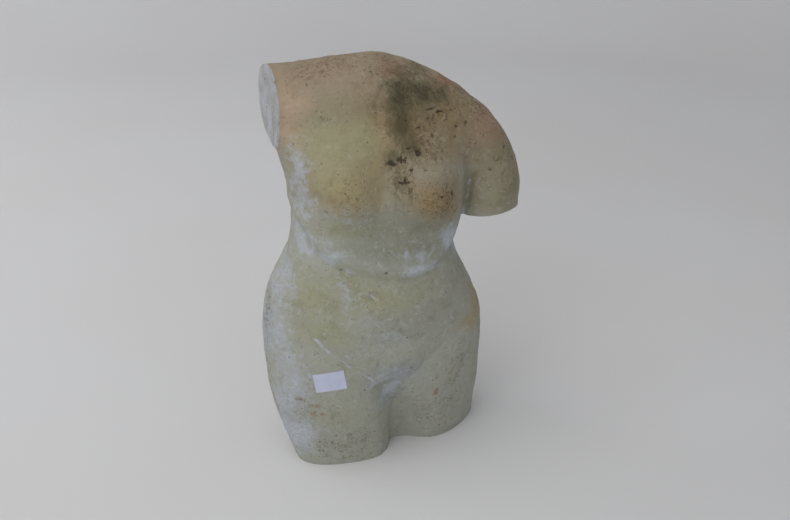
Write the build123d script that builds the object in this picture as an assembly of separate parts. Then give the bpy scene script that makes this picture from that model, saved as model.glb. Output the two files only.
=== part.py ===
"""Hollow cast figure of a headless, armless female torso that stands on its two cut thighs.

Row frame: +Z up, the figure faces -Y, its right side is -X. Millimetres.
The casting is two pressed half shells, joined by a mortar seam that runs up both flanks and over the
shoulders, with slabs that close the neck and both arm stumps. The base is open. A coil of mortar
backs the seam inside. A blank paper label sticks to the right thigh.
"""

import os
from dataclasses import dataclass
from math import copysign, cos, exp, pi, radians, sin

from build123d import *

# ---- driving dimensions -------------------------------------------------------------------------
WALL = 15.0            # thickness of the pressed shell
SEAM_Y = 3.0           # where the parting between the front and back moulds crosses the middle
SEAM_TWIST = ((-20.0, 13.0), (540.0, -11.0))   # height and turn about Z of its lower and upper edge
SEAM = 1.6             # thickness of the mortar between the half shells
CAP = 12.0             # thickness of the slabs over the stumps
BED = 1.2              # mortar bed under each slab
COIL_WIDTH = 16.0      # mortar coil pressed along the seam, inside
COIL_DEPTH = 6.0
OUTLINE_POINTS = 24    # points of one spline section of the trunk
RING_POINTS = 14       # and of the shoulders
GROOVE = 30.0          # half width of the midline grooves
CHEST_TURN = -8.0      # the shoulders turn against the hips by this, about Z

NECK = (36.0, -6.0, 500.0)  # centre of the neck's cut face: across, back, up
NECK_TILT = (16.0, 14.0)   # its slope to the front and to the left, degrees
NECK_RADIUS = 29.0     # of the slab that plugs the neck
NECK_LEDGE = 7.0       # width of the ledge that the neck's slab is bedded on
NECK_REACH = 100.0     # how far round the neck's centre its cut runs
STUMP_RADIUS = 60.0    # reach of the slab over the right arm's stump, and of its cut
ARM_RADIUS = 37.0      # reach of the slab over the left arm's stump
ARM_REACH = 39.0       # and of its cut, which stops short of the flank
SPARE = 45.0           # how far the body is drawn past its cut faces, before they are cut
PARTING_WIDTH = 640.0  # the parting surface runs past the body by a good margin
PARTING_DEPTH = 300.0
SLIVER = 50.0          # volume below which a cut-off crumb is dropped, mm3

LABEL = (38.0, 26.0)
LABEL_THICK = 0.4
LABEL_AT = (-80.0, -74.0, 133.0)
LABEL_FACES = -25.0    # its facing against the figure's front, about Z
LABEL_ROLL = 9.0
LABEL_PRESS = 60.0     # depth of the block that the sheet is cut out with

os.makedirs("parts", exist_ok=True)


# ---- outline of the trunk -----------------------------------------------------------------------
@dataclass
class Station:
    """One horizontal section of the trunk. Depths run from (x, y) to the front and to the back."""

    z: float
    x: float
    y: float
    half_width: float
    front: float
    back: float
    turn: float            # about Z, degrees
    front_cleft: float = 0.0   # share of the depth lost on the midline
    back_cleft: float = 0.0
    fullness: float = 2.3  # exponent of the outline: 2 is an ellipse, more is squarer


@dataclass
class Swell:
    """A pair of rounded masses, one each side of the midline."""

    spread: float
    z: float
    wide: float
    tall: float
    depth: float

    def at(self, across, z):
        """How far the pair stands out of the trunk here."""
        up = (z - self.z) / self.tall
        sides = ((across - side * self.spread) / self.wide for side in (-1, 1))
        return self.depth * sum(exp(-(side**2) - up**2) for side in sides)


BREASTS = Swell(51, 372, 37, 36, 21)
BUTTOCKS = Swell(60, 146, 40, 44, 14)

TRUNK = [
    Station(0, 16, 3, 133, 60, 76, 16, 0.56, 0.50, 2.1),
    Station(24, 13, 3, 135, 64, 78, 14, 0.52, 0.46, 2.1),
    Station(54, 9, 3, 138, 70, 80, 11, 0.38, 0.40, 2.15),
    Station(95, 3, 3, 141, 79, 84, 7, 0.17, 0.30, 2.2),
    Station(136, -1, 4, 142, 85, 88, 4, 0.04, 0.22, 2.25),
    Station(176, -3, 4, 140, 86, 86, 1, 0.0, 0.16, 2.3),
    Station(214, -6, 4, 131, 85, 78, -2, 0.0, 0.10, 2.3),
    Station(252, -8, 2, 116, 79, 66, -5, 0.0, 0.08, 2.3),
    Station(286, -6, 0, 102, 76, 57, -7, 0.0, 0.09, 2.3),
    Station(316, 0, 0, 102, 75, 60, -8, 0.02, 0.10, 2.35),
    Station(340, 3, 0, 105, 74, 65, -8, 0.03, 0.10, 2.4),
    Station(362, 4, 1, 108, 72, 70, -8, 0.04, 0.10, 2.4),
    Station(384, 3, 3, 111, 70, 74, -8, 0.04, 0.09, 2.4),
    Station(406, 2, 4, 115, 66, 78, -8, 0.02, 0.07, 2.4),
    Station(428, 0, 5, 119, 60, 77, -8, 0.02, 0.05, 2.4),
    Station(450, -2, 7, 120, 51, 71, -8, 0.0, 0.04, 2.3),
    Station(472, -6, 9, 104, 41, 58, -8, 0.0, 0.0, 2.2),
]
HOLLOW_TOP = 450       # the trunk's hollow ends here, under the shoulders' own


def place(x, y, z, turn):
    """A point turned about Z."""
    a = radians(turn)
    return Vector(x * cos(a) - y * sin(a), x * sin(a) + y * cos(a), z)


def trunk_section(s, inset=0.0):
    """Closed spline round the trunk at one station, pulled in by inset."""
    points = []
    half_width = s.half_width - inset
    for i in range(OUTLINE_POINTS):
        t = pi / 2 + 2 * pi * i / OUTLINE_POINTS       # from the middle of the back
        c, d = cos(t), sin(t)
        px = half_width * copysign(abs(c) ** (2 / s.fullness), c)
        if d > 0:
            depth, cleft, swell = s.back, s.back_cleft, BUTTOCKS
        else:
            depth, cleft, swell = s.front, s.front_cleft, BREASTS
        groove = 1 - cleft * exp(-((px / GROOVE) ** 2))
        reach = depth * groove + swell.at(px, s.z) - inset
        p = place(px, copysign(reach * abs(d) ** (2 / s.fullness), d), s.z, s.turn)
        points.append(Vector(p.X + s.x, p.Y + s.y, s.z))
    return Wire([Spline(*points, periodic=True)])


def trunk_loft(inset=0.0, top=None):
    """The trunk, or its inside, up to the station at height top."""
    used = [s for s in TRUNK if top is None or s.z <= top]
    return Solid.make_loft([trunk_section(s, inset) for s in used])


# ---- shoulders and the left arm -----------------------------------------------------------------
@dataclass
class Ring:
    """One elliptical section across the shoulders, in the chest's own frame."""

    s: float               # across, positive to the figure's left
    z: float
    tilt: float            # of the section's plane, from vertical towards lying flat
    tall: float            # half size in the section's plane, up or outwards
    deep: float            # half size from front to back
    y: float = 8.0
    swing: float = 0.0     # turn of the section's plane about Z


SHOULDERS = [
    Ring(-160, 468, 0, 39, 33),
    Ring(-133, 466, 0, 41, 36),
    Ring(-105, 461, 0, 44, 41),
    Ring(-60, 455, 0, 55, 49),
    Ring(-10, 452, 0, 62, 53, 9),
    Ring(32, 451, 0, 59, 52, 9),
    Ring(68, 444, 12, 45, 47),
    Ring(97, 423, 32, 42, 42),
    Ring(127, 397, 58, 38, 38, 6),
    Ring(143, 362, 77, 36, 37, 4),
    Ring(142, 318, 84, 36, 35, 3),
    Ring(141, 286, 88, 35, 34, 3),
]
STUMP_CUT = Ring(-124, 465, 0, 0, 0, swing=13)
ARM_CUT = Ring(142, 318, 84, 0, 0, 3)


def ring_plane(ring):
    """Plane of a ring: x runs outwards in the section, y from front to back."""
    t = radians(ring.tilt)
    turn = CHEST_TURN + ring.swing
    across = place(cos(t), 0, 0, turn)
    side = place(sin(t), 0, 0, turn)
    return Plane(
        origin=place(ring.s, ring.y, ring.z, CHEST_TURN),
        x_dir=Vector(side.X, side.Y, cos(t)),
        z_dir=Vector(across.X, across.Y, -sin(t)),
    )


def ring_wire(ring, inset=0.0):
    """Closed spline through points of the ring's ellipse."""
    plane = ring_plane(ring)
    points = []
    for i in range(RING_POINTS):
        t = pi / 2 + 2 * pi * i / RING_POINTS
        points.append(plane.from_local_coords(
            Vector((ring.tall - inset) * cos(t), (ring.deep - inset) * sin(t), 0)))
    return Wire([Spline(*points, periodic=True)])


def shoulder_loft(inset=0.0):
    return Solid.make_loft([ring_wire(r, inset) for r in SHOULDERS])


# ---- whole body and its inside ------------------------------------------------------------------
def inner_body(extra=0.0):
    """The hollow, or what the seam coil leaves of it when extra is the coil's depth."""
    inset = WALL + extra
    return trunk_loft(inset, HOLLOW_TOP) + shoulder_loft(inset)


def slab(plane, near, far, radius):
    """A round slab between two depths behind a cut face, whose normal points out of the body."""
    return plane * Pos(0, 0, -(near + far) / 2) * Cylinder(radius, far - near)


def parted(near, far):
    """What lies between two distances behind the parting, which twists with the body."""
    edges = []
    for z, turn in SEAM_TWIST:
        level = Plane(origin=(0, SEAM_Y, z), x_dir=place(1, 0, 0, turn), z_dir=(0, 0, 1))
        edges.append((level * Pos(0, (near + far) / 2) * Rectangle(PARTING_WIDTH, far - near)).wire())
    return Solid.make_loft(edges, ruled=True)


def parts_of(shape):
    """The shape's solids, without slivers."""
    return [solid for solid in shape.solids() if solid.volume > SLIVER]


def write(name, solids):
    """One STEP file for one node."""
    shape = solids[0] if len(solids) == 1 else Compound(children=solids)
    export_step(Pos(-middle.X, -middle.Y) * shape, f"parts/{name}.step")
    print(name, len(solids), "solids", round(sum(s.volume for s in solids) / 1000, 1), "cm3")


def write_each(names, solids):
    """One node for each solid, named from the right side to the left."""
    for name, solid in zip(names, sorted(solids, key=lambda solid: solid.center().X)):
        write(name, [solid])


# ---- cut faces: planes whose normals point out of the body --------------------------------------
def stump_plane():
    plane = ring_plane(STUMP_CUT)
    return Plane(origin=plane.origin, x_dir=plane.x_dir, z_dir=-plane.z_dir)


def neck_plane():
    s, y, z = NECK
    to_front, to_left = (radians(a) for a in NECK_TILT)
    normal = place(sin(to_left), -sin(to_front), 0, CHEST_TURN)
    return Plane(origin=place(s, y, z, CHEST_TURN), x_dir=(1, 0, 0),
                 z_dir=Vector(normal.X, normal.Y, cos(to_front) * cos(to_left)))


# ---- the casting --------------------------------------------------------------------------------
cuts = {
    "neck": (neck_plane(), NECK_RADIUS, NECK_REACH),
    "right_arm": (stump_plane(), STUMP_RADIUS, STUMP_RADIUS),
    "left_arm": (ring_plane(ARM_CUT), ARM_RADIUS, ARM_REACH),
}
outer = trunk_loft() + shoulder_loft()
for plane, _, reach in cuts.values():
    outer -= slab(plane, -SPARE, 0, reach)
middle = outer.bounding_box().center()      # the row's origin lies under the middle of the body's box
neck_hole = slab(neck_plane(), -SPARE, SPARE, NECK_RADIUS - NECK_LEDGE)
hollow = inner_body()
shells = outer - hollow - neck_hole
for plane, radius, _ in cuts.values():
    shells -= slab(plane, -SPARE, CAP + BED, radius)

write("front_shell", parts_of(shells & parted(-PARTING_DEPTH, -SEAM / 2)))
write("back_shell", parts_of(shells & parted(SEAM / 2, PARTING_DEPTH)))
write_each(("right_flank_seam", "right_shoulder_seam", "left_flank_seam", "left_shoulder_seam"),
           parts_of(shells & parted(-SEAM / 2, SEAM / 2)))

for name, (plane, radius, _) in cuts.items():
    write(f"{name}_cap", parts_of(outer & slab(plane, -SPARE, CAP, radius)))
    write(f"{name}_bed", parts_of(outer & slab(plane, CAP, CAP + BED, radius)))

coil = (hollow & parted(-COIL_WIDTH / 2, COIL_WIDTH / 2)) - inner_body(COIL_DEPTH) - neck_hole
for plane, radius, _ in cuts.values():
    coil -= slab(plane, -SPARE, CAP + BED, radius)
write_each(("right_coil", "shoulder_coil", "left_coil"), parts_of(coil))


# ---- paper label on the right thigh -------------------------------------------------------------
def label():
    """A sheet that follows the thigh's surface."""
    normal = place(0, -1, 0, LABEL_FACES)
    across = place(1, 0, 0, LABEL_FACES)
    block = Rot(0, 0, LABEL_ROLL) * Box(*LABEL, LABEL_PRESS)
    sheet = Plane(origin=LABEL_AT, x_dir=across, z_dir=normal) * block
    return (trunk_loft(-LABEL_THICK) & sheet) - outer


write("label", parts_of(label()))
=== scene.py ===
"""The weathered torso: sculpted stone skin, slabs, mortar and label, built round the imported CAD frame.

Row frame in metres: +Z up, the figure faces -Y, its right side is -X. The skin starts as a distance
field taken from the CAD pieces, is softened and sculpted, and is cut at the CAD's own cut faces.
Places in the tables of forms and colours are in millimetres, from the middle of the figure's foot.
"""

from itertools import product
from math import cos, pi, radians, sin

import bpy
import numpy as np
import openvdb
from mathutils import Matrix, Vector
from mathutils.bvhtree import BVHTree


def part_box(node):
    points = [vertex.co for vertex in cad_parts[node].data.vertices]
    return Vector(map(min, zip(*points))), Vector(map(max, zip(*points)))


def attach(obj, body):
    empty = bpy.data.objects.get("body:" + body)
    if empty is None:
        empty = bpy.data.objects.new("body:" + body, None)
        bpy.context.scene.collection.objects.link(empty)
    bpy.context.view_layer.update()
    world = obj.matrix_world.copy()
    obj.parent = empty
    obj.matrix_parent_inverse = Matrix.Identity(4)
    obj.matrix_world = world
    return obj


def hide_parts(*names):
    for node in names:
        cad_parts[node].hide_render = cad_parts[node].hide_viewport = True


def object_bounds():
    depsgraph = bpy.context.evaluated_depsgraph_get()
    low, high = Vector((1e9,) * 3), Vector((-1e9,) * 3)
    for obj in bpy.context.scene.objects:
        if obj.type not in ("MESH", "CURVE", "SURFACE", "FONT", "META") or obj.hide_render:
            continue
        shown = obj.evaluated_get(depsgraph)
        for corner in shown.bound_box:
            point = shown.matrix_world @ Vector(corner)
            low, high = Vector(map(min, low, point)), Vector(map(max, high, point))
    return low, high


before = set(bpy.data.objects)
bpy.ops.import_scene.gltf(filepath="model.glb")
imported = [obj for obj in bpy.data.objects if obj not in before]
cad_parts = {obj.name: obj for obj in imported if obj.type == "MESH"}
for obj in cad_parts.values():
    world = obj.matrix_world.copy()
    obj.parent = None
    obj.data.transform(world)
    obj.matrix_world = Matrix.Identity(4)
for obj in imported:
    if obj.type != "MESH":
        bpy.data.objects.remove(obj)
cad_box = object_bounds()

MM = 0.001
VOXEL = 2.0 * MM
BAND = 4                   # voxels that the distance field reaches either side of the surface
MARGIN = 30 * MM           # room round the body in the field's grid
SPARE = 24 * MM            # how far the body is drawn past each cut face before it is cut
PAST = SPARE * 1.6         # how far the cutting slabs stand out of a cut face
DEEP_VOXEL = 4 * MM        # grid of the hollow inside
DEEP_BAND = 7
FOOT = 2 * MM              # the section at this height is carried on below the floor
SOFT = (3.5 * MM, 0.4 * MM)     # width of the softening, and what is given back to the surface
SOFTER = (8 * MM, 1.6 * MM)     # the same for the shoulders
SHOULDERS = (0.375, 0.05)       # height where they begin, and that of the blend

WALL = 15 * MM             # the casting, as the CAD model has it
COIL_DEPTH = 6 * MM
COIL_WIDTH = 16 * MM
CAP = 12 * MM
BED = 1.2 * MM
SEAM = 1.6 * MM
NECK_HOLE = (45 * MM, 22 * MM)  # depth and radius of the opening behind the neck's slab
LABEL = (38 * MM, 26 * MM)
LABEL_FACES = -25          # which way the label faces and how far it is rolled, degrees
LABEL_ROLL = 9
CHEST_TURN = -8            # the shoulders' turn about Z, degrees
CHEST_AT = np.array((-17.4, -6.9, 0)) * MM     # where the chest's own frame has its origin
SEAM_AT = (-17.4 * MM, -3.9 * MM)              # where the parting crosses the middle of the body
SEAM_TWIST = ((-20 * MM, 13), (540 * MM, -11))  # height and turn of its lower and upper edge
PARTING_WIDTH = 0.32       # half of it: past the body on both sides
PARTING_DEPTH = 0.3
PARTING_GRID = (65, 57)    # points across and up
SLAB_SIDES = 96
SHARP_ANGLE = 48           # edges that turn by more than this stay crisp, degrees

CAMERA_AT = (-0.3534, -1.1914, 0.828)
CAMERA_TURN, CAMERA_DOWN = -17, 25     # where it looks, degrees
CAMERA_LENS, CAMERA_SENSOR = 49.35, 36


def chest(s, y, z, turn=CHEST_TURN):
    """A point given in millimetres across, back and up in the chest's frame."""
    a = radians(turn)
    return np.array((s * cos(a) - y * sin(a), s * sin(a) + y * cos(a), z)) * MM + CHEST_AT


def direction(x, y, z):
    v = np.array((x, y, z), float)
    return v / np.linalg.norm(v)


# cut faces: centre, outward normal, reach of the slab, reach of the cut
CUTS = {
    "neck": (chest(36, -6, 500), direction(0.197, -0.300, 0.933), 29 * MM, 100 * MM),
    "right_arm": (chest(-124, 8, 465), direction(-0.9962, -0.0872, 0), 60 * MM, 60 * MM),
    "left_arm": (chest(142, 3, 318), direction(0.1035, -0.0145, -0.9945), 37 * MM, 39 * MM),
}


# ---- distance field of the whole body -----------------------------------------------------------
LOW = np.array(cad_box[0]) - MARGIN
SIZE = np.array(cad_box[1]) + MARGIN - LOW
COUNT = np.ceil(SIZE / VOXEL).astype(int)
AXES = [LOW[i] + VOXEL * np.arange(COUNT[i]) for i in range(3)]


def coordinates(mesh):
    co = np.empty(len(mesh.vertices) * 3, np.float32)
    mesh.vertices.foreach_get("co", co)
    return co.reshape(-1, 3)


def triangles(mesh):
    mesh.calc_loop_triangles()
    tri = np.empty(len(mesh.loop_triangles) * 3, np.int32)
    mesh.loop_triangles.foreach_get("vertices", tri)
    return coordinates(mesh), tri.reshape(-1, 3)


def field_of(points, tris, voxel=VOXEL, band=BAND):
    """Signed distance on the grid, negative inside, limited to this many voxels."""
    unit = openvdb.createLinearTransform(voxelSize=voxel)
    grid = openvdb.FloatGrid.createLevelSetFromPolygons(
        (points - LOW).astype(np.float32), triangles=tris.astype(np.uint32),
        transform=unit, halfWidth=band)
    field = np.empty(np.ceil(SIZE / voxel).astype(int), np.float32)
    grid.copyToArray(field, ijk=(0, 0, 0))
    return field


def surface_of(field, level=0.0, voxel=VOXEL, band=BAND):
    """Points and quads where the field has this level."""
    grid = openvdb.FloatGrid(band * voxel)
    grid.transform = openvdb.createLinearTransform(voxelSize=voxel)
    grid.copyFromArray(field, ijk=(0, 0, 0))
    points, quads = grid.convertToQuads(isovalue=level)
    return points.astype(float) + LOW, quads.astype(int)


def corners(part):
    """The eight corners of a cell, and each one's share in a point this part of the way across it."""
    for corner in product((0, 1), repeat=3):
        yield corner, np.abs(1 - np.array(corner) - part).prod(1)


def sample(field, points):
    """The field at points, between its voxels."""
    place = (points - LOW) / VOXEL
    cell = np.clip(np.floor(place).astype(int), 0, COUNT - 2)
    return sum(share * field[tuple((cell + corner).T)]
               for corner, share in corners(np.clip(place - cell, 0, 1)))


def fill_hollow(field):
    """Makes the body solid: what has wall on all four sides at its height is inside."""
    wall = field < 0.75 * VOXEL      # wide enough to close the thin seams and beds
    inside = np.ones_like(wall)
    for axis in (0, 1):
        inside &= np.maximum.accumulate(wall, axis)
        inside &= np.flip(np.maximum.accumulate(np.flip(wall, axis), axis), axis)
    walls = np.where(wall, np.minimum(field, -0.1 * VOXEL), field)
    return np.where(inside & ~wall, -np.abs(field) - VOXEL, walls)


def prolong(field, centre, normal, reach):
    """Continues the body past a cut face."""
    low = np.clip(((centre - reach - SPARE - LOW) / VOXEL).astype(int), 0, COUNT - 1)
    high = np.clip(((centre + reach + SPARE - LOW) / VOXEL).astype(int), 1, COUNT)
    block = tuple(slice(a, b) for a, b in zip(low, high))
    grid = np.stack(np.meshgrid(*(AXES[i][block[i]] for i in range(3)), indexing="ij"), -1)
    height = (grid - centre) @ normal
    aside = np.linalg.norm(grid - centre - height[..., None] * normal, axis=-1)
    past = (height > -VOXEL) & (height < SPARE) & (aside < reach)
    root = grid[past] - (height[past] + 1.5 * VOXEL)[:, None] * normal
    part = field[block]
    part[past] = np.minimum(part[past], sample(field, root))


def blurred(field, sigma):
    """The field softened by three running means, close to a Gaussian of this width."""
    width = max(1, round((sigma / VOXEL) * 2))
    width += 1 - width % 2
    half = width // 2
    for axis in range(3):
        for _ in range(3):
            pad = [(0, 0)] * 3
            pad[axis] = (half + 1, half)
            total = np.cumsum(np.pad(field, pad, mode="edge"), axis, dtype=np.float64)
            ahead = np.take(total, range(width, total.shape[axis]), axis)
            behind = np.take(total, range(0, total.shape[axis] - width), axis)
            field = ((ahead - behind) / width).astype(np.float32)
    return field


def body_field():
    """The CAD body as one solid, with soft creases where the shoulders meet the trunk."""
    field = np.full(COUNT, BAND * VOXEL, np.float32)
    for node in ("front_shell", "back_shell", "neck_cap", "right_arm_cap", "left_arm_cap"):
        field = np.minimum(field, field_of(*triangles(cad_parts[node].data)))
    field = fill_hollow(field)
    for name in ("right_arm", "left_arm"):
        centre, normal, _, reach = CUTS[name]
        prolong(field, centre, normal, reach)
    foot = int(round((FOOT - LOW[2]) / VOXEL))
    field[:, :, :foot] = field[:, :, foot:foot + 1]
    field[:, :, :foot - round(SPARE / VOXEL)] = BAND * VOXEL
    soft, softer = (blurred(field, width) - gain for width, gain in (SOFT, SOFTER))
    high = np.clip((AXES[2] - SHOULDERS[0]) / SHOULDERS[1], 0, 1).astype(np.float32)
    return soft + (softer - soft) * high


# ---- sculpting on the surface -------------------------------------------------------------------
STEP_EDGE = 2.5            # softness of a step's edge, mm
LATTICE = 64               # side of the table of random values


def quad_normals(points, quads):
    a, b, c, d = (points[quads[:, i]] for i in range(4))
    face = np.cross(c - a, d - b)
    normal = np.zeros_like(points)
    for i in range(4):
        np.add.at(normal, quads[:, i], face)
    return normal / np.maximum(np.linalg.norm(normal, axis=1), 1e-12)[:, None]


def swell(points, centre, radii, height):
    """A soft mound of this height, or a hollow if it is negative. Millimetres."""
    away = ((points / MM - np.array(centre)) / np.array(radii)) ** 2
    return height * np.exp(-away.sum(1))


def off_path(points, path, flat=(1, 1, 1)):
    """Distance from a line through these places, and how far above it, in millimetres."""
    p = points / MM * flat
    best = np.full(len(p), 1e9)
    above = np.zeros(len(p))
    for a, b in zip(path, path[1:]):
        a, b = np.array(a, float) * flat, np.array(b, float) * flat
        t = np.clip((p - a) @ (b - a) / ((b - a) @ (b - a)), 0, 1)
        gap = p - (a + t[:, None] * (b - a))
        far = np.linalg.norm(gap, axis=1)
        near = far < best
        best[near] = far[near]
        above[near] = gap[near, 2]
    return best, above


def crease(points, path, width, depth):
    """A groove along a path; a negative depth makes a fold."""
    far, _ = off_path(points, path)
    return -depth * np.exp(-((far / width) ** 2))


def step(points, path, width, height):
    """The upper side of a path stands out by this height and fades away upwards."""
    far, above = off_path(points, path)
    side = 1 / (1 + np.exp(-above / STEP_EDGE))
    return height * side * np.exp(-((far / width) ** 2))


def lattice_noise(points, size, seed):
    """Smooth random values between -1 and 1 that change over this size, in metres."""
    table = np.random.default_rng(seed).uniform(-1, 1, (LATTICE,) * 3).astype(np.float32)
    place = points / size + 1000     # keeps every place on the positive side
    cell = np.floor(place).astype(int)
    part = place - cell
    part = part * part * (3 - 2 * part)
    return sum(share * table[tuple(((cell + corner) % LATTICE).T)] for corner, share in corners(part))


# folds and grooves: places that each one runs through
BELLY_FOLD = ((-128, 0, 340), (-114, -34, 318), (-104, -52, 297), (-88, -66, 284), (-62, -78, 275),
              (-27, -84, 264), (8, -83, 261), (38, -75, 267), (58, -61, 280), (72, -35, 300))
GROIN_RIGHT = ((-122, -62, 200), (-103, -77, 180), (-84, -84, 161), (-57, -88, 140), (-34, -84, 118))
GROIN_LEFT = ((78, -62, 178), (52, -78, 160), (28, -82, 140), (2, -76, 118), (-20, -76, 100))
CLEFT = ((-28, -80, 112), (-18, -72, 95), (-8, -62, 79), (-4, -45, 45), (-3, -35, 0))
LOW_FOLD = ((-84, -86, 196), (-60, -90, 184), (-20, -90, 178), (20, -84, 180), (50, -72, 190))
ARMPIT_LEFT = ((96, -46, 372), (92, -42, 352), (90, -37, 332), (89, -30, 305))
ARMPIT_RIGHT = ((-112, -30, 440), (-106, -34, 420), (-104, -32, 396))
SPINE = ((0, 72, 470), (-6, 88, 420), (-12, 78, 350), (-16, 62, 290), (-14, 72, 235), (-12, 90, 190))
GLUTEAL = ((-14, 84, 205), (-12, 86, 160), (-10, 74, 110), (-8, 52, 60), (-4, 40, 0))
GLUTEAL_FOLDS = (((-16, 78, 92), (-48, 78, 84), (-84, 62, 88)), ((-4, 74, 88), (30, 84, 80), (70, 84, 86)))

# the holes that stand out: place, radii and depth
HOLES = (
    ((16, -71, 416), (4, 9, 4), 3.0), ((-10, -74, 406), (9, 12, 3.5), 1.2),
    ((38, -54, 458), (8, 9, 2), 2.0), ((48, -54, 454), (7, 9, 2), 1.6),
    ((68, -54, 436), (2.6, 8, 2.6), 2.0), ((66, -58, 424), (2.4, 8, 2.4), 2.0),
    ((-64, -62, 470), (5, 9, 3.5), 1.4), ((-78, -72, 277), (5, 9, 2), 1.6),
    ((-26, -84, 274), (5, 9, 2), 1.6), ((8, -83, 136), (4, 9, 3.5), 1.8),
    ((45, -70, 86), (5, 9, 6), 1.4), ((44, -74, 112), (5, 9, 5), 1.0),
    ((-2, -84, 380), (8, 12, 6), 1.2), ((56, -86, 366), (3, 9, 4), 1.5),
    ((-70, -80, 378), (4, 9, 2.5), 1.4),
)


def big_forms(p):
    """Masses of the body, in millimetres along the normal."""
    out = swell(p, (-70, -70, 380), (34, 40, 30), 4.5) + swell(p, (30, -88, 358), (34, 40, 28), 4.5)
    out += swell(p, (-64, -72, 352), (30, 30, 12), 2.0) + swell(p, (34, -90, 330), (30, 30, 12), 2.5)
    out += swell(p, (-38, -85, 225), (55, 40, 40), 3.5)
    out += swell(p, (-152, -20, 60), (24, 60, 70), 4.5) + swell(p, (-156, -10, 240), (20, 50, 60), 2.5)
    out += swell(p, (128, -20, 190), (22, 50, 50), 2.5) + swell(p, (160, -30, 330), (16, 40, 26), 3.5)
    out += swell(p, (-112, -8, 400), (22, 42, 28), 4.5) + swell(p, (-70, -80, 6), (70, 30, 30), -4.0)
    out += swell(p, (-128, 0, 500), (24, 40, 14), 3.0)
    out += swell(p, (-20, -88, 150), (34, 40, 26), 3.0)
    out += swell(p, (-18, -70, 395), (14, 40, 60), -2.0)
    out += swell(p, (-40, -80, 315), (12, 30, 36), -1.2)
    out += swell(p, (-78, 74, 425), (26, 40, 40), 6.0) + swell(p, (56, 70, 420), (26, 40, 40), 6.0)
    out += swell(p, (-12, 80, 425), (20, 40, 60), -4.0)
    out += step(p, BELLY_FOLD, 26, 5.5)
    out += crease(p, BELLY_FOLD, 8, 3.2)
    out += crease(p, GROIN_RIGHT, 15, 3.0) + crease(p, GROIN_LEFT, 15, 3.0)
    out += crease(p, CLEFT, 10, 3.0)
    out += crease(p, SPINE, 14, 6.0) + crease(p, GLUTEAL, 8, 7.0)
    for fold in GLUTEAL_FOLDS:
        out += crease(p, fold, 8, 4.0)
    return out


def fine_forms(p):
    """Narrow folds and the navel."""
    out = crease(p, GROIN_RIGHT[1:], 3.0, 1.6) + crease(p, GROIN_LEFT[1:4], 3.5, 1.5)
    out += crease(p, LOW_FOLD, 6, 0.9)
    out += crease(p, CLEFT, 4, 2.5)
    out += crease(p, ARMPIT_LEFT, 4, 4.5)
    out += crease(p, ARMPIT_RIGHT, 9, 2.5)
    out += swell(p, (-43, -83, 242), (4.5, 12, 5.5), -3.5)
    out += swell(p, (-43, -83, 249), (6, 12, 3.5), 0.8)
    return out


def worn(p):
    """Uneven hand-smoothed stone."""
    out = 1.1 * lattice_noise(p, 0.045, 1) + 0.55 * lattice_noise(p, 0.016, 2)
    ridge = np.clip((p[:, 2] / MM - 380) / 40, 0, 1) * np.clip((p[:, 0] / MM - 30) / 40, 0, 1)
    out += ridge * (lattice_noise(p, 0.020, 4) + 0.6 * lattice_noise(p, 0.010, 5))
    return out + 0.35 * lattice_noise(p, 0.007, 3)


PITS, FLANK_PITS, PIT_SEED = 260, 90, 7
FLANK = (-0.125, -0.012, 0.03)   # the flank's pits lie right of this, about this depth, so far either way
PIT_RADIUS, PIT_DEPTH, PIT_REACH = (1.6, 3.2), (0.5, 1.7), 12    # mm


def pitted(points):
    """Small holes of trapped air and lost chips, a few large ones and a row up the right flank."""
    draw = np.random.default_rng(PIT_SEED)
    out = np.zeros(len(points))
    places = list(points[draw.integers(0, len(points), PITS)] / MM)
    right, middle, half = FLANK
    flank = points[(points[:, 0] < right) & (np.abs(points[:, 1] - middle) < half)] / MM
    places += list(flank[draw.integers(0, len(flank), FLANK_PITS)])
    for place in places:
        radius, depth = draw.uniform(*PIT_RADIUS), draw.uniform(*PIT_DEPTH)
        near = np.abs(points / MM - place).max(1) < PIT_REACH
        out[near] += swell(points[near], place, (radius, radius, radius * draw.uniform(0.7, 1.3)), -depth)
    for place, radii, depth in HOLES:
        out += swell(points, place, radii, -depth)
    return out


def sculpted(points, quads):
    """The points moved along their normals by each set of forms in turn."""
    for forms in (big_forms, fine_forms, worn, pitted):
        points = points + quad_normals(points, quads) * forms(points)[:, None] * MM
    return points


# ---- meshes and cuts ----------------------------------------------------------------------------
def new_object(name, points, faces):
    mesh = bpy.data.meshes.new(name)
    mesh.from_pydata(np.asarray(points).tolist(), [], faces)
    obj = bpy.data.objects.new(name, mesh)
    bpy.context.scene.collection.objects.link(obj)
    return obj


def closed(name, points, quads):
    """An object from a field's surface, its faces turned outwards."""
    a, b, c = (points[quads[:, i]] - points.mean(0) for i in range(3))
    outward = np.einsum("ij,ij->i", a, np.cross(b, c)).sum() > 0
    return new_object(name, points, (quads if outward else quads[:, ::-1]).tolist())


def combine(target, tool, operation):
    """Applies one boolean to the target's mesh."""
    modifier = target.modifiers.new("cut", "BOOLEAN")
    modifier.object = tool
    modifier.operation = operation
    modifier.solver = "MANIFOLD"
    bpy.context.view_layer.update()
    graph = bpy.context.evaluated_depsgraph_get()
    mesh = bpy.data.meshes.new_from_object(target.evaluated_get(graph))
    target.modifiers.clear()
    old = target.data
    target.data = mesh
    bpy.data.meshes.remove(old)
    return target


def copied(obj):
    twin = bpy.data.objects.new(obj.name, obj.data.copy())
    bpy.context.scene.collection.objects.link(twin)
    return twin


def removed(*objects):
    for obj in objects:
        mesh = obj.data
        bpy.data.objects.remove(obj)
        bpy.data.meshes.remove(mesh)


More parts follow.
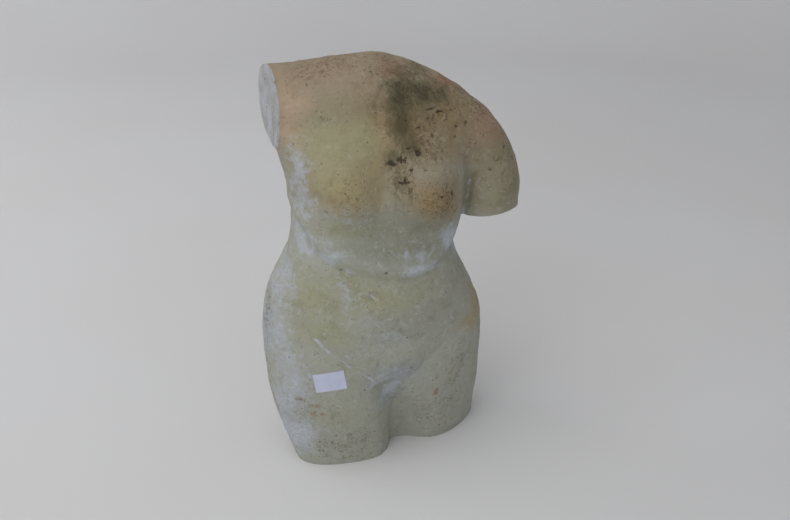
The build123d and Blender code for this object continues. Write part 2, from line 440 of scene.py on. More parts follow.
def swept(name, rings):
    """A closed solid through rings of as many points; each end is closed across from its middle."""
    n = len(rings[0])
    faces = [(r * n + i, r * n + (i + 1) % n, (r + 1) * n + (i + 1) % n, (r + 1) * n + i)
             for r in range(len(rings) - 1) for i in range(n)]
    last = (len(rings) - 1) * n
    for i in range(n // 2 - 1):
        faces.append((i, n - 1 - i, n - 2 - i, i + 1))
        faces.append((last + i, last + i + 1, last + n - 2 - i, last + n - 1 - i))
    return new_object(name, np.vstack(rings), faces)


def slab(centre, normal, near, far, radius):
    """A round slab between two depths behind a cut face."""
    side = np.cross(normal, (0, 0, 1) if abs(normal[2]) < 0.9 else (0, 1, 0))
    side = side / np.linalg.norm(side)
    other = np.cross(normal, side)
    turns = np.linspace(0, 2 * pi, SLAB_SIDES, endpoint=False)
    ring = centre + radius * (np.outer(np.cos(turns), side) + np.outer(np.sin(turns), other))
    return swept("slab", (ring - far * normal, ring - near * normal))


def parted(near, far):
    """What lies between two distances behind the twisted parting surface."""
    columns, rows = PARTING_GRID
    across = np.linspace(-PARTING_WIDTH, PARTING_WIDTH, columns)
    ends = []
    for z, turn in SEAM_TWIST:
        a = radians(turn)
        along, back = np.array((cos(a), sin(a), 0)), np.array((-sin(a), cos(a), 0))
        row = np.array((*SEAM_AT, z)) + np.outer(across, along)
        ends.append(np.vstack([row + near * back, row[::-1] + far * back]))
    return swept("parting", [ends[0] + t * (ends[1] - ends[0]) for t in np.linspace(0, 1, rows)])


def below(z):
    """A block under this height, wider than the figure."""
    ring = np.array([(-1, -1, z), (1, -1, z), (1, 1, z), (-1, 1, z)], float)
    return swept("floor_cut", (ring - (0, 0, 1), ring))


def intersection(base, tool):
    return combine(copied(base), tool, "INTERSECT")


def build_stone():
    """All the stone and mortar pieces, cut from one sculpted body."""
    field = body_field()
    points, quads = surface_of(field)
    outer = closed("outer", sculpted(points, quads), quads)
    raw, tris = triangles(outer.data)
    deep = field_of(raw.astype(float), tris, DEEP_VOXEL, DEEP_BAND)
    hollow = closed("hollow", *surface_of(deep, -WALL, DEEP_VOXEL, DEEP_BAND))
    core = closed("core", *surface_of(deep, -WALL - COIL_DEPTH, DEEP_VOXEL, DEEP_BAND))

    floor = below(0)
    combine(outer, floor, "DIFFERENCE")
    for centre, normal, _, reach in CUTS.values():
        past = slab(centre, normal, -PAST, 0, reach)
        combine(outer, past, "DIFFERENCE")
        removed(past)
    shells = copied(outer)
    combine(shells, hollow, "DIFFERENCE")
    seats = {}
    for name, (centre, normal, radius, _) in CUTS.items():
        seats[name] = slab(centre, normal, -PAST, CAP + BED, radius)
        combine(shells, seats[name], "DIFFERENCE")
    neck_hole = slab(*CUTS["neck"][:2], -SPARE, *NECK_HOLE)
    combine(shells, neck_hole, "DIFFERENCE")

    made = {}
    front, back = parted(-PARTING_DEPTH, -SEAM / 2), parted(SEAM / 2, PARTING_DEPTH)
    seam = parted(-SEAM / 2, SEAM / 2)
    for name, tool in (("front_shell", front), ("back_shell", back), ("seams", seam)):
        made[name] = intersection(shells, tool)
    for name, (centre, normal, radius, _) in CUTS.items():
        cap = slab(centre, normal, -PAST, CAP, radius)
        bed = slab(centre, normal, CAP, CAP + BED, radius)
        made[name + "_cap"] = intersection(outer, cap)
        made[name + "_bed"] = intersection(outer, bed)
        removed(cap, bed)
    strip = parted(-COIL_WIDTH / 2, COIL_WIDTH / 2)
    made["coils"] = intersection(hollow, strip)
    for tool in (core, floor, *seats.values(), neck_hole):
        combine(made["coils"], tool, "DIFFERENCE")
    removed(outer, hollow, core, floor, shells, neck_hole, front, back, seam, strip, *seats.values())
    return field, made


def split(obj, names):
    """The largest loose parts of an object as objects of their own, named from right to left."""
    mesh = obj.data
    points = coordinates(mesh).astype(float)
    ends = np.array([e.vertices[:] for e in mesh.edges]).T
    part = np.arange(len(points))
    while (part[ends[0]] != part[ends[1]]).any():
        least = np.minimum(part[ends[0]], part[ends[1]])
        np.minimum.at(part, ends[0], least)
        np.minimum.at(part, ends[1], least)
        part = part[part]
    labels, counts = np.unique(part, return_counts=True)
    largest = labels[np.argsort(-counts)[:len(names)]]
    found = {}
    for name, label in zip(names, sorted(largest, key=lambda k: points[part == k, 0].mean())):
        members = np.flatnonzero(part == label)
        index = dict(zip(members.tolist(), range(len(members))))
        faces = [[index[v] for v in f.vertices] for f in mesh.polygons if part[f.vertices[0]] == label]
        found[name] = new_object(name, points[members], faces)
    removed(obj)
    return found


# ---- colour zones -------------------------------------------------------------------------------
LIGHT = 0.62     # how bright a white surface shows under this scene's light
LOW_STONE, HIGH_STONE = (136, 137, 127), (128, 118, 99)     # the stone's own colours, low and high up
LOW_BACK, HIGH_BACK, BACK_PATCH = (136, 137, 128), (124, 117, 98), (128, 124, 96)
HIGH_FROM, HIGH_RISE = 0.30, 0.17       # where the one gives way to the other, and over what height
BACK_FROM, BACK_RISE = 0.025, 0.04      # where the front's zones give way to the back's, along Y
LEAST_LIME, LEAST_GRIME = 0.34, 0.36
SKIN_DEPTH, SKIN_BLEND = 9, 4           # the weathering ends this deep inside the stone, mm


def colour(*seen):
    """The surface colour for a colour as it is seen, 0 to 255."""
    linear = ((np.array(seen) / 255 + 0.055) / 1.055) ** 2.4
    return np.minimum(linear / LIGHT, 0.95)


# Zones of the surface. A place is a centre and its radii in millimetres.
# Tints have the colour as it is seen, how fully it covers, and its places.
TINTS = (
    ((128, 117, 92), 0.8, (((-60, -80, 388), (46, 40, 30)), ((-74, -76, 377), (30, 40, 20)))),
    ((132, 121, 90), 0.8, (((-68, -78, 380), (34, 40, 18)), ((-30, -70, 400), (10, 30, 40)))),
    ((112, 97, 72), 0.9, (((32, -92, 360), (34, 40, 30)), ((0, -60, 440), (60, 60, 44)),
                          ((60, -50, 440), (40, 50, 40)))),
    ((130, 112, 82), 0.8, (((32, -92, 361), (26, 30, 18)), ((60, -74, 340), (12, 20, 12)),
                           ((-24, -60, 428), (7, 30, 26)))),
    ((150, 132, 112), 1.0, (((-122, -22, 468), (16, 40, 34)), ((-118, -30, 440), (14, 30, 20)))),
    ((128, 113, 96), 1.0, (((-70, -10, 507), (80, 50, 18)), ((-10, -20, 500), (50, 50, 20)))),
    ((128, 98, 82), 0.8, (((122, -42, 420), (26, 50, 24)), ((78, -20, 478), (34, 40, 12)),
                          ((6, -26, 500), (18, 20, 8)))),
    ((112, 104, 84), 1.0, (((128, -40, 360), (40, 60, 34)), ((128, -40, 400), (40, 60, 20)))),
    ((122, 118, 98), 0.9, (((118, -44, 345), (26, 60, 26)),)),
    ((132, 128, 100), 0.9, (((-84, -62, 425), (34, 40, 34)), ((-50, -62, 425), (26, 40, 26)))),
    ((130, 128, 98), 0.6, (((-114, -60, 239), (22, 40, 26)), ((-96, -70, 205), (34, 40, 20)),
                           ((-60, -82, 330), (40, 40, 10)))),
    # This darker grey-green tint is painted shade under the breasts, carried on down over the upper belly.
    ((113, 113, 100), 0.8, (((0, -84, 326), (50, 40, 24)), ((-10, -84, 300), (60, 40, 16)))),
    ((124, 128, 131), 0.8, (((-24, -84, 130), (40, 40, 20)), ((-16, -72, 100), (14, 40, 16)))),
    ((132, 130, 106), 0.8, (((-30, -84, 246), (62, 40, 20)), ((-70, -76, 262), (22, 40, 14)))),
    ((134, 124, 98), 0.9, (((108, -46, 200), (18, 50, 34)), ((96, -56, 176), (24, 40, 12)))),
    ((122, 121, 109), 0.6, (((60, -66, 250), (50, 40, 50)), ((24, -76, 210), (50, 40, 26)))),
    ((132, 131, 115), 0.5, (((-70, -76, 130), (40, 40, 40)), ((-80, -74, 88), (40, 40, 34)))),
)

# Lime, stain, grime, blotches and rust have a strength and a place.
LIME = (
    (0.8, ((-118, -24, 392), (12, 60, 40))), (0.68, ((-110, -30, 352), (18, 60, 48))),
    (0.75, ((-112, -30, 310), (24, 60, 44))), (0.75, ((-84, -66, 292), (32, 30, 14))),
    (0.5, ((-60, -80, 346), (56, 30, 16))), (0.4, ((-60, -84, 326), (24, 30, 16))),
    (0.6, ((30, -84, 290), (50, 30, 18))), (0.9, ((22, -82, 275), (26, 30, 9))),
    (0.6, ((-118, 10, 400), (16, 40, 54))), (0.9, ((76, -54, 288), (14, 40, 26))),
    (0.5, ((-92, -58, 308), (26, 40, 24))), (0.9, ((60, -66, 303), (20, 30, 20))),
    (0.8, ((-120, -10, 385), (12, 60, 44))), (0.5, ((-50, -84, 215), (60, 40, 14))),
    (0.6, ((-10, -84, 190), (40, 40, 12))), (0.7, ((-140, -20, 250), (22, 50, 60))),
    (0.9, ((-152, -10, 180), (22, 60, 60))), (1.0, ((-140, -40, 120), (24, 40, 60))),
    (1.0, ((-132, -40, 50), (24, 60, 44))), (0.5, ((-100, -70, 60), (30, 40, 20))),
    (0.6, ((-22, -86, 132), (48, 30, 26))), (0.8, ((-18, -76, 104), (16, 30, 20))),
    (0.5, ((-60, -84, 176), (40, 30, 12))), (0.5, ((84, -50, 110), (14, 50, 70))),
    (0.55, ((-130, -14, 424), (14, 40, 26))), (0.6, ((-74, -72, 250), (16, 30, 34))),
    (0.4, ((30, -70, 40), (50, 50, 30))),
)

# Lines of lime in the folds: strength, width and path.
LIME_LINES = (
    (1.15, 1.7, ((-112, -70, 190), (-101, -78, 177), (-84, -84, 161), (-57, -88, 140), (-36, -84, 120))),
    (0.95, 2.2, ((26, -82, 139), (12, -81, 127))), (0.6, 2.0, ((48, -78, 157), (26, -82, 139))),
    (1.2, 2.3, ((93, -45, 362), (91, -40, 341), (89, -35, 327), (90, -31, 311))),
    (0.8, 4.0, ((-18, -72, 98), (-14, -70, 84))), (0.7, 5.0, BELLY_FOLD[2:5]),
    (0.5, 5.0, BELLY_FOLD[6:9]), (1.4, 2.3, ((-45, -84, 245), (-41, -84, 240))),
)

STAIN = (
    (1.0, ((2, -42, 480), (28, 40, 18))), (1.1, ((-2, -48, 470), (22, 40, 18))),
    (1.0, ((30, -40, 474), (30, 40, 16))), (0.85, ((54, -34, 470), (22, 40, 13))),
    (0.8, ((14, -20, 496), (40, 30, 10))), (1.0, ((2, -60, 446), (15, 40, 26))),
    (0.8, ((8, -70, 420), (13, 40, 20))), (0.75, ((-8, -76, 402), (14, 40, 13))),
    (0.55, ((0, -84, 374), (12, 40, 18))), (0.5, ((30, -60, 452), (26, 40, 14))),
)

GRIME = (
    (0.68, ((-60, 0, 506), (120, 50, 24))), (0.7, ((20, -60, 440), (70, 50, 60))),
    (0.7, ((100, -30, 450), (60, 60, 44))), (0.72, ((40, -90, 365), (44, 40, 44))),
    (0.6, ((-60, -80, 375), (44, 40, 36))), (0.62, ((-70, -70, 30), (110, 50, 60))),
    (0.58, ((50, -60, 50), (70, 50, 80))), (0.72, ((-155, -10, 180), (18, 30, 160))),
    (0.65, ((135, -45, 370), (34, 60, 54))), (0.5, ((-90, -50, 460), (60, 50, 44))),
    (0.6, ((-130, -60, 90), (34, 50, 60))), (0.6, ((66, -60, 110), (50, 40, 70))),
    (0.75, ((62, -50, 452), (26, 40, 12))), (0.76, ((26, -66, 424), (44, 40, 44))),
    (0.74, ((0, -80, 385), (26, 40, 30))), (0.5, ((-40, -86, 250), (50, 40, 30))),
)

BLOTCHES = (
    (0.9, ((-14, -72, 404), (9, 14, 4.5))), (0.85, ((-4, -72, 408), (8, 14, 5))),
    (0.8, ((-4, -84, 384), (8, 14, 5))), (0.8, ((2, -84, 374), (5, 14, 9))),
    (1.3, ((16, -71, 414), (4, 14, 4))), (0.8, ((10, -70, 420), (9, 10, 3))),
    (1.0, ((38, -52, 458), (8, 14, 1.8))), (1.0, ((48, -52, 454), (7, 14, 1.8))),
    (0.8, ((22, -60, 440), (6, 10, 3))), (0.9, ((68, -54, 436), (2.5, 8, 2.5))),
    (0.8, ((66, -58, 424), (2.2, 8, 2.2))), (0.8, ((-64, -60, 470), (5, 12, 4))),
    (0.6, ((-42, -60, 474), (6, 12, 4))), (0.6, ((66, -48, 462), (5, 12, 4))),
    (0.8, ((-90, -66, 352), (7, 14, 6))), (0.6, ((-70, -80, 380), (4, 14, 3))),
    (0.7, ((-64, -80, 372), (4, 14, 3))), (0.6, ((-56, -80, 378), (3, 14, 2.5))),
    (0.8, ((54, -86, 366), (3, 10, 5))), (0.5, ((-86, -40, 496), (12, 14, 4))),
    (0.6, ((-122, -24, 486), (9, 14, 2))), (0.8, ((64, -74, 336), (5, 10, 4))),
    (0.75, ((-78, -72, 277), (5, 10, 1.6))), (0.9, ((-26, -84, 274), (5, 10, 2))),
    (0.8, ((8, -83, 136), (4, 10, 3.5))), (0.8, ((44, -76, 328), (4, 10, 3))),
    (0.5, ((-10, -78, 345), (5, 10, 3))), (0.7, ((58, -54, 446), (7, 14, 5))),
    (0.65, ((32, -64, 428), (9, 14, 6))), (0.65, ((80, -48, 440), (5, 14, 7))),
    (0.6, ((104, -50, 420), (5, 14, 5))), (0.65, ((120, -58, 392), (6, 14, 6))),
    (0.65, ((132, -52, 402), (5, 14, 8))), (0.6, ((112, -58, 380), (8, 14, 5))),
    (0.7, ((44, -72, 112), (5, 14, 4))), (0.75, ((45, -68, 88), (4, 14, 5))),
    (0.8, ((38, -95, 366), (3, 14, 3))), (0.8, ((30, -94, 352), (2.5, 14, 3))),
    (0.8, ((46, -92, 344), (3, 14, 2.5))), (0.6, ((20, -80, 396), (8, 14, 5))),
    (0.6, ((6, -78, 396), (5, 14, 8))), (0.55, ((-84, -50, 474), (6, 14, 3))),
)

RUST = (
    (1.0, ((-131, -62, 104), (9, 20, 6))), (0.9, ((-112, -72, 96), (12, 20, 6))),
    (1.0, ((-118, -70, 84), (8, 20, 6))), (0.9, ((-104, -74, 84), (8, 20, 5))),
    (0.6, ((-124, -62, 130), (12, 20, 10))), (0.9, ((44, -72, 112), (7, 20, 8))),
    (1.1, ((45, -68, 88), (6, 20, 8))), (0.8, ((70, -60, 92), (4, 20, 8))),
    (0.5, ((80, -56, 130), (9, 20, 12))), (0.5, ((-60, -80, 118), (8, 20, 6))),
    (0.5, ((-78, -64, 340), (6, 20, 3))),
)


def reach(points, centre, radii):
    """1 at the centre of a place, fading to 0 about one and a half radii out."""
    away = np.sqrt((((points / MM - np.array(centre)) / np.array(radii)) ** 2).sum(1))
    return np.clip(1.25 - 0.75 * away, 0, 1)


def strongest(points, places):
    """The reach of the place that counts most at each point."""
    total = np.zeros(len(points))
    for strength, place in places:
        total = np.maximum(total, strength * reach(points, *place))
    return total


def wandering(points, size, amount, seed):
    """The points moved about a little, which gives a zone an uneven edge."""
    return points + amount * np.stack([lattice_noise(points, size, seed + i) for i in range(3)], 1)


def blend(below, above, share):
    """One colour over another, by each point's own share."""
    return below * (1 - share[:, None]) + above * share[:, None]


def paint(obj, body):
    """Stores the colour zones on the points of a stone piece."""
    mesh = obj.data
    p = coordinates(mesh).astype(float)
    large = wandering(wandering(p, 40 * MM, 9 * MM, 10), 14 * MM, 4 * MM, 20)
    small = wandering(p, 9 * MM, 1.5 * MM, 40)
    high = np.clip((p[:, 2] - HIGH_FROM) / HIGH_RISE, 0, 1)
    back = np.clip((large[:, 1] - BACK_FROM) / BACK_RISE, 0, 1)

    tint = blend(colour(*LOW_STONE), colour(*HIGH_STONE), high)
    for seen, cover, places in TINTS:
        tint = blend(tint, colour(*seen), cover * strongest(large, [(1, place) for place in places]))
    patches = np.clip(0.5 + lattice_noise(p, 55 * MM, 31) + 0.5 * lattice_noise(p, 22 * MM, 32), 0, 1)
    behind = blend(colour(*LOW_BACK), colour(*HIGH_BACK), high)
    behind = blend(behind, colour(*BACK_PATCH), 0.6 * patches)
    tint = blend(tint, behind, back)

    lime = np.maximum(strongest(large, LIME), LEAST_LIME * (1 - high)) * (1 - back)
    uneven = np.clip(0.8 + 0.5 * lattice_noise(p, 11 * MM, 50), 0, 1) * (1 - back)
    for strength, width, path in LIME_LINES:
        far, _ = off_path(small, path, (1, 0.25, 1))
        lime = np.maximum(lime, uneven * strength * np.exp(-((far / width) ** 2)))
    rising = 0.75 - p[:, 2] / 0.45 + 0.5 * lattice_noise(p, 45 * MM, 33)
    lime = np.maximum(lime, back * np.clip(rising, 0, 0.8))

    centre, normal = CUTS["right_arm"][:2]
    fields = {
        "lime": lime,
        "stain": strongest(large, STAIN),
        "grime": np.maximum(strongest(large, GRIME), LEAST_GRIME),
        "blotch": strongest(small, BLOTCHES),
        "rust": strongest(small, RUST),
        "skin": np.clip((sample(body, p) / MM + SKIN_DEPTH) / SKIN_BLEND, 0, 1),
        "face": np.clip(1.5 + (p - centre) @ normal / MM / 2, 0, 1),
    }
    for name, values in fields.items():
        mesh.attributes.new(name, "FLOAT", "POINT").data.foreach_set("value", values.astype(np.float32))
    rgba = np.ones((len(p), 4), np.float32)
    rgba[:, :3] = tint
    mesh.attributes.new("tint", "FLOAT_COLOR", "POINT").data.foreach_set("color", rgba.ravel())


# ---- materials ----------------------------------------------------------------------------------
class Nodes:
    """Short ways to add and link shader nodes."""

    def __init__(self, name):
        self.material = bpy.data.materials.new(name)
        self.material.use_nodes = True
        self.tree = self.material.node_tree
        self.tree.nodes.clear()
        self.place = self.add("TexCoord")["Object"]

    def add(self, kind, inputs=None, **settings):
        node = self.tree.nodes.new("ShaderNode" + kind)
        for key, value in settings.items():
            setattr(node, key, value)
        for key, value in (inputs or {}).items():
            if isinstance(value, bpy.types.NodeSocket):
                self.tree.links.new(value, node.inputs[key])
            else:
                node.inputs[key].default_value = value
        return node.outputs

    def noise(self, scale, detail=4, rough=0.6, warp=0.0, stretch=1.0):
        """A noise of this many features per metre, drawn out along Z where stretch is above 1."""
        place = self.place
        if stretch != 1.0:
            place = self.add("Mapping", {"Vector": place, "Scale": (1, 1, 1 / stretch)})["Vector"]
        return self.add("TexNoise", {"Vector": place, "Scale": scale, "Detail": detail,
                                     "Roughness": rough, "Distortion": warp})["Fac"]

    def math(self, operation, a, b=0.0):
        return self.add("Math", {0: a, 1: b}, operation=operation)["Value"]

    def ramp(self, value, low, high, start=0.0, end=1.0):
        return self.add("MapRange", {"Value": value, "From Min": low, "From Max": high, "To Min": start,
                                     "To Max": end}, interpolation_type="SMOOTHSTEP")["Result"]

    def mix(self, a, b, factor, blend="MIX"):
        a, b = ((*v, 1) if isinstance(v, (tuple, np.ndarray)) else v for v in (a, b))
        return self.add("Mix", {0: factor, 6: a, 7: b}, data_type="RGBA", blend_type=blend)[2]

    def stored(self, name):
        return self.add("Attribute", attribute_name=name)

    def broken(self, name, grain, low, high, grip, cover):
        """How fully a stored zone covers the stone, its edge broken up by a noise."""
        mask = self.stored(name)["Fac"]
        uneven = self.math("ADD", mask, self.math("MULTIPLY", self.math("SUBTRACT", grain, 0.5), grip))
        return self.ramp(uneven, low, high, 0.0, cover)

    def finish(self, colour_socket, roughness, height, distance, specular=0.3):
        bump = self.add("Bump", {"Height": height, "Distance": distance, "Strength": 1.0})["Normal"]
        shader = self.add("BsdfPrincipled", {"Base Color": colour_socket, "Roughness": roughness,
                                             "Normal": bump, "Specular IOR Level": specular})["BSDF"]
        self.add("OutputMaterial", {"Surface": shader})
        return self.material


def dots(n, scale, size, seed_shift):
    """Small round specks: the middles of some cells of a Voronoi pattern."""
    moved = n.add("VectorMath", {0: n.place, 1: (seed_shift, 0, 0)}, operation="ADD")["Vector"]
    cell = n.add("TexVoronoi", {"Vector": moved, "Scale": scale, "Randomness": 1.0})
    chance = n.add("SeparateColor", {"Color": cell["Color"]})["Red"]
    limit = n.math("MULTIPLY", n.ramp(chance, 0.55, 1.0), size)
    return n.ramp(n.math("SUBTRACT", limit, cell["Distance"]), 0.0, 0.12)


def weathered_stone():
    n = Nodes("weathered_cast_stone")
    fine, grain, cloud = n.noise(900, 3, 0.6), n.noise(240, 6, 0.7), n.noise(45, 5, 0.6, 0.4)
    smear, crackle = n.noise(110, 8, 0.72, 0.6), n.noise(170, 9, 0.80, 0.6)
    streak = n.noise(160, 7, 0.72, 0.8, 3.0)
    base = n.stored("tint")["Color"]
    base = n.mix(base, (0.62, 0.58, 0.48), n.ramp(cloud, 0.48, 0.72, 0, 0.35), "MULTIPLY")
    base = n.mix(base, colour(150, 148, 136), n.ramp(smear, 0.52, 0.70, 0, 0.35))
    base = n.mix(base, colour(100, 94, 76), n.ramp(grain, 0.54, 0.72, 0, 0.45))
    base = n.mix(base, colour(164, 162, 152), n.ramp(fine, 0.58, 0.76, 0, 0.30))
    base = n.mix(base, colour(148, 152, 158), n.broken("lime", smear, 0.35, 0.90, 1.9, 0.78))
    base = n.mix(base, colour(168, 172, 179), n.broken("lime", grain, 0.80, 1.20, 2.4, 0.60))
    base = n.mix(base, colour(122, 100, 76), n.broken("rust", grain, 0.65, 0.98, 2.8, 0.60))
    base = n.mix(base, colour(74, 70, 50), n.broken("stain", streak, 0.10, 0.90, 1.8, 0.85))
    base = n.mix(base, colour(52, 47, 35), n.broken("stain", crackle, 0.75, 1.10, 2.2, 0.75))
    base = n.mix(base, colour(88, 72, 52), n.broken("grime", crackle, 0.58, 0.98, 2.2, 0.65))
    base = n.mix(base, colour(72, 58, 42), n.broken("grime", grain, 0.80, 1.00, 2.6, 0.65))
    blotch = n.broken("blotch", crackle, 0.60, 0.95, 2.6, 0.85)
    base = n.mix(base, colour(50, 40, 29), blotch)
    specks = n.math("MAXIMUM", dots(n, 150, 0.26, 0.0), dots(n, 320, 0.32, 3.0))
    specks = n.math("MULTIPLY", specks, n.ramp(smear, 0.48, 0.62))
    base = n.mix(base, colour(70, 56, 40), n.math("MULTIPLY", specks, 0.7))
    raw = n.mix(colour(120, 119, 114), colour(146, 145, 140), n.ramp(grain, 0.35, 0.65))
    base = n.mix(raw, base, n.stored("skin")["Fac"])
    height = n.math("ADD", n.math("MULTIPLY", grain, 0.7), n.math("MULTIPLY", cloud, 0.8))
    height = n.math("ADD", height, n.math("MULTIPLY", crackle, 0.5))
    height = n.math("ADD", height, n.math("MULTIPLY", fine, 0.3))
    height = n.math("SUBTRACT", height, n.math("MULTIPLY", n.math("MAXIMUM", specks, blotch), 0.8))
    return n.finish(base, n.ramp(grain, 0.3, 0.7, 0.8, 0.97), height, 1.1 * MM)


def slab_stone():
    """Grey on the cut face; the weathered skin's own colours come over its rim."""
    n = Nodes("grey_slab_stone")
    fine, grain, cloud = n.noise(1000, 3, 0.6), n.noise(260, 5, 0.6), n.noise(50, 4, 0.6, 0.5)
    base = n.mix(colour(136, 135, 134), colour(150, 151, 155), n.ramp(cloud, 0.35, 0.65))
    base = n.mix(base, colour(118, 114, 106), n.ramp(grain, 0.54, 0.72, 0, 0.6))
    specks = dots(n, 150, 0.34, 1.0)
    base = n.mix(base, colour(84, 70, 56), n.math("MULTIPLY", specks, 0.7))
    rim = n.mix(n.stored("tint")["Color"], colour(104, 98, 80), n.ramp(grain, 0.56, 0.74, 0, 0.40))
    base = n.mix(rim, base, n.broken("face", grain, 0.4, 0.6, 0.3, 1.0))
    height = n.math("ADD", n.math("MULTIPLY", grain, 0.7), n.math("MULTIPLY", fine, 0.3))
    height = n.math("SUBTRACT", height, n.math("MULTIPLY", specks, 0.6))
    return n.finish(base, n.ramp(grain, 0.3, 0.7, 0.8, 0.95), height, 0.6 * MM)


def lime_mortar():
    n = Nodes("lime_mortar")
    fine, grain = n.noise(1200, 3, 0.6), n.noise(300, 5, 0.65)
    base = n.mix(colour(128, 126, 118), colour(158, 157, 152), n.ramp(grain, 0.3, 0.7))
    base = n.mix(base, colour(96, 86, 70), n.ramp(fine, 0.62, 0.76, 0, 0.6))
    return n.finish(base, n.ramp(grain, 0.3, 0.7, 0.85, 0.98), n.math("ADD", grain, fine), 0.5 * MM)


def label_paper():
    n = Nodes("label_paper")
    fibre, cloud = n.noise(900, 4, 0.7), n.noise(90, 3, 0.5)
    base = n.mix(colour(158, 161, 180), colour(165, 168, 187), n.ramp(cloud, 0.3, 0.7))
    base = n.mix(base, colour(168, 168, 178), n.ramp(fibre, 0.55, 0.8, 0, 0.4))
    return n.finish(base, n.ramp(fibre, 0.3, 0.7, 0.45, 0.65), fibre, 0.05 * MM, 0.5)


def pale_floor():
    n = Nodes("pale_paper_floor")
    fine, cloud = n.noise(60, 3, 0.5), n.noise(1.5, 2, 0.5)
    base = n.mix((0.745, 0.735, 0.735), (0.765, 0.76, 0.765), n.ramp(cloud, 0.3, 0.7))
    return n.finish(base, n.ramp(fine, 0.3, 0.7, 0.8, 0.9), fine, 0.1 * MM, 0.2)


# ---- assembly -----------------------------------------------------------------------------------
def dressed(obj, name, material, nodes):
    """Names a finished piece, gives it its finish and puts it in its nodes' place."""
    obj.name = name
    obj.data.name = name
    obj.data.materials.clear()
    obj.data.materials.append(material)
    obj.data.shade_smooth()
    obj.data.set_sharp_from_angle(angle=radians(SHARP_ANGLE))
    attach(obj, "root")
    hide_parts(*nodes)


LABEL_GRID = (25, 17)                   # points along and up the sheet
LABEL_THICK = 0.25 * MM
LABEL_GAP = 0.35                        # of glue and roughness under the sheet, mm
LABEL_LIFTS = ((1, 0.55, 1.6), (-1, 0.7, 0.9))  # at its upper left and lower right corners, mm
LABEL_START = 60 * MM                   # how far in front of the thigh the sheet is dropped from
LABEL_SMOOTHING = 6


def build_label(shell, paper):
    """A blank paper rectangle pressed on the thigh, two corners a little lifted."""
    low, high = (np.array(corner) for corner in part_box("label"))
    middle = (low + high) / 2
    turn, roll = radians(LABEL_FACES), radians(LABEL_ROLL)
    out = np.array((sin(turn), -cos(turn), 0))
    side = np.array((cos(turn), sin(turn), 0))
    across = side * cos(roll) + np.array((0, 0, 1)) * sin(roll)
    up = np.array((0, 0, 1)) * cos(roll) - side * sin(roll)
    tree = BVHTree.FromObject(shell, bpy.context.evaluated_depsgraph_get())
    columns, rows = LABEL_GRID
    points = []
    for j in range(rows):
        for i in range(columns):
            u, v = i / (columns - 1) - 0.5, j / (rows - 1) - 0.5
            start = middle + across * u * LABEL[0] + up * v * LABEL[1] + out * LABEL_START
            hit, _, _, _ = tree.ray_cast(Vector(start), Vector(-out), 0.2)
            lift = LABEL_GAP + sum(rise * max(0, side * (u + v) - start_at)
                                   for side, start_at, rise in LABEL_LIFTS)
            points.append(np.array(hit) + out * lift * MM)
    points = np.array(points).reshape(rows, columns, 3)
    for _ in range(LABEL_SMOOTHING):
        inner = (points[:-2, 1:-1] + points[2:, 1:-1] + points[1:-1, :-2] + points[1:-1, 2:]) / 4
        points[1:-1, 1:-1] = inner
    points = points.reshape(-1, 3)
    quads = [(j * columns + i, j * columns + i + 1, (j + 1) * columns + i + 1, (j + 1) * columns + i)
             for j in range(rows - 1) for i in range(columns - 1)]
    n = len(points)
    edge = list(range(columns)) + [(j + 1) * columns - 1 for j in range(1, rows)]
    edge += [(rows - 1) * columns + i for i in range(columns - 2, -1, -1)]
    edge += [j * columns for j in range(rows - 2, 0, -1)]
    faces = quads + [tuple(n + i for i in quad[::-1]) for quad in quads]
    faces += [(edge[i], n + edge[i], n + edge[(i + 1) % len(edge)], edge[(i + 1) % len(edge)])
              for i in range(len(edge))]
    label = new_object("label", np.vstack([points, points - out * LABEL_THICK]), faces)
    dressed(label, "paper_label", paper, ["label"])


SEAM_NODES = ("right_flank_seam", "right_shoulder_seam", "left_shoulder_seam", "left_flank_seam")
COIL_NODES = ("right_coil", "shoulder_coil", "left_coil")


def build_object():
    """Every piece, named, finished and in its node's place."""
    body, stone = build_stone()
    seams, coils = split(stone.pop("seams"), SEAM_NODES), split(stone.pop("coils"), COIL_NODES)
    skin, slab_finish, mortar, paper = weathered_stone(), slab_stone(), lime_mortar(), label_paper()
    for node, obj in {**stone, **seams}.items():
        paint(obj, body)
        if node == "right_arm_cap":
            dressed(obj, "stone_" + node, slab_finish, [node])
        elif node.endswith(("shell", "cap")):
            dressed(obj, "stone_" + node, skin, [node])
        else:
            dressed(obj, "mortar_" + node, skin, [node])
    for node, obj in coils.items():
        dressed(obj, "mortar_" + node, mortar, [node])
    build_label(stone["front_shell"], paper)


def add_camera():
    cam = bpy.data.objects.new("camera", bpy.data.cameras.new("camera"))
    bpy.context.scene.collection.objects.link(cam)
    azimuth, down = radians(CAMERA_TURN), radians(CAMERA_DOWN)
    ahead = Vector((-sin(azimuth) * cos(down), cos(azimuth) * cos(down), -sin(down)))
    cam.location = CAMERA_AT
    cam.rotation_mode = "QUATERNION"
    cam.rotation_quaternion = ahead.to_track_quat("-Z", "Y")
    cam.data.sensor_width = CAMERA_SENSOR
    cam.data.lens = CAMERA_LENS
    bpy.context.scene.camera = cam


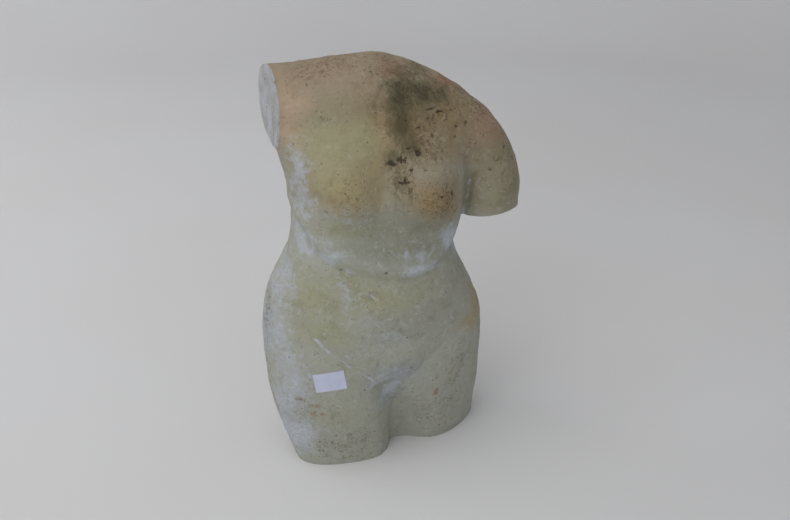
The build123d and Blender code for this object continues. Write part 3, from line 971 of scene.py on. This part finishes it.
# name, place, what it looks at, size, power, tone
LIGHTS = (
    ("window", (-1.5, -1.9, 1.7), (0, 0, 0.2), 1.6, 17, (0.95, 0.98, 1.0)),
    ("ceiling", (-0.9, -0.4, 2.3), (0, 0.1, 0.2), 1.6, 12, (1.0, 0.97, 0.93)),
    ("wall", (-1.4, 0.9, 1.9), (-1.3, 2.6, 0.4), 1.0, 11, (0.97, 0.98, 1.0)),
)
SKY, SKY_STRENGTH = (0.94, 0.97, 1.0, 1), 0.40
FLAT, CURVE, WALL_TOP = 2.0, 0.9, 2.2   # radius of the flat floor, its curve up, and the wall's height
BACKDROP_SIDES = 96
UNDER_FLOOR = 0.2 * MM                  # the floor lies this far under the figure


def add_light(name, place, towards, size, power, tone):
    lamp = bpy.data.lights.new(name, "AREA")
    lamp.size = size
    lamp.energy = power
    lamp.color = tone
    obj = bpy.data.objects.new(name, lamp)
    obj.location = place
    obj.rotation_mode = "QUATERNION"
    obj.rotation_quaternion = (Vector(towards) - Vector(place)).to_track_quat("-Z", "Y")
    bpy.context.scene.collection.objects.link(obj)


def build_studio():
    """A pale floor that curves up all round, and soft light, strongest from the figure's right."""
    world = bpy.data.worlds.new("studio")
    bpy.context.scene.world = world
    world.use_nodes = True
    sky = world.node_tree.nodes["Background"]
    sky.inputs["Color"].default_value = SKY
    sky.inputs["Strength"].default_value = SKY_STRENGTH
    for light in LIGHTS:
        add_light(*light)
    profile = [(0.6, 0.0), (FLAT, 0.0)]
    profile += [(FLAT + CURVE * sin(a), CURVE - CURVE * cos(a)) for a in map(radians, range(6, 91, 6))]
    profile += [(FLAT + CURVE, WALL_TOP)]
    sides = BACKDROP_SIDES
    points = [(r * cos(2 * pi * i / sides), r * sin(2 * pi * i / sides), z - UNDER_FLOOR)
              for r, z in profile for i in range(sides)]
    corner = ((0, 0), (1, 0), (1, 1), (0, 1))
    faces = [tuple((k + ring) * sides + (i + ahead) % sides for ring, ahead in corner)
             for k in range(len(profile) - 1) for i in range(sides)]
    faces.append(tuple(range(sides)))
    sheet = new_object("backdrop", points, faces)
    sheet.data.materials.append(pale_floor())
    sheet.data.shade_smooth()


add_camera()
build_object()
build_studio()
bpy.context.scene.view_settings.view_transform = "Standard"
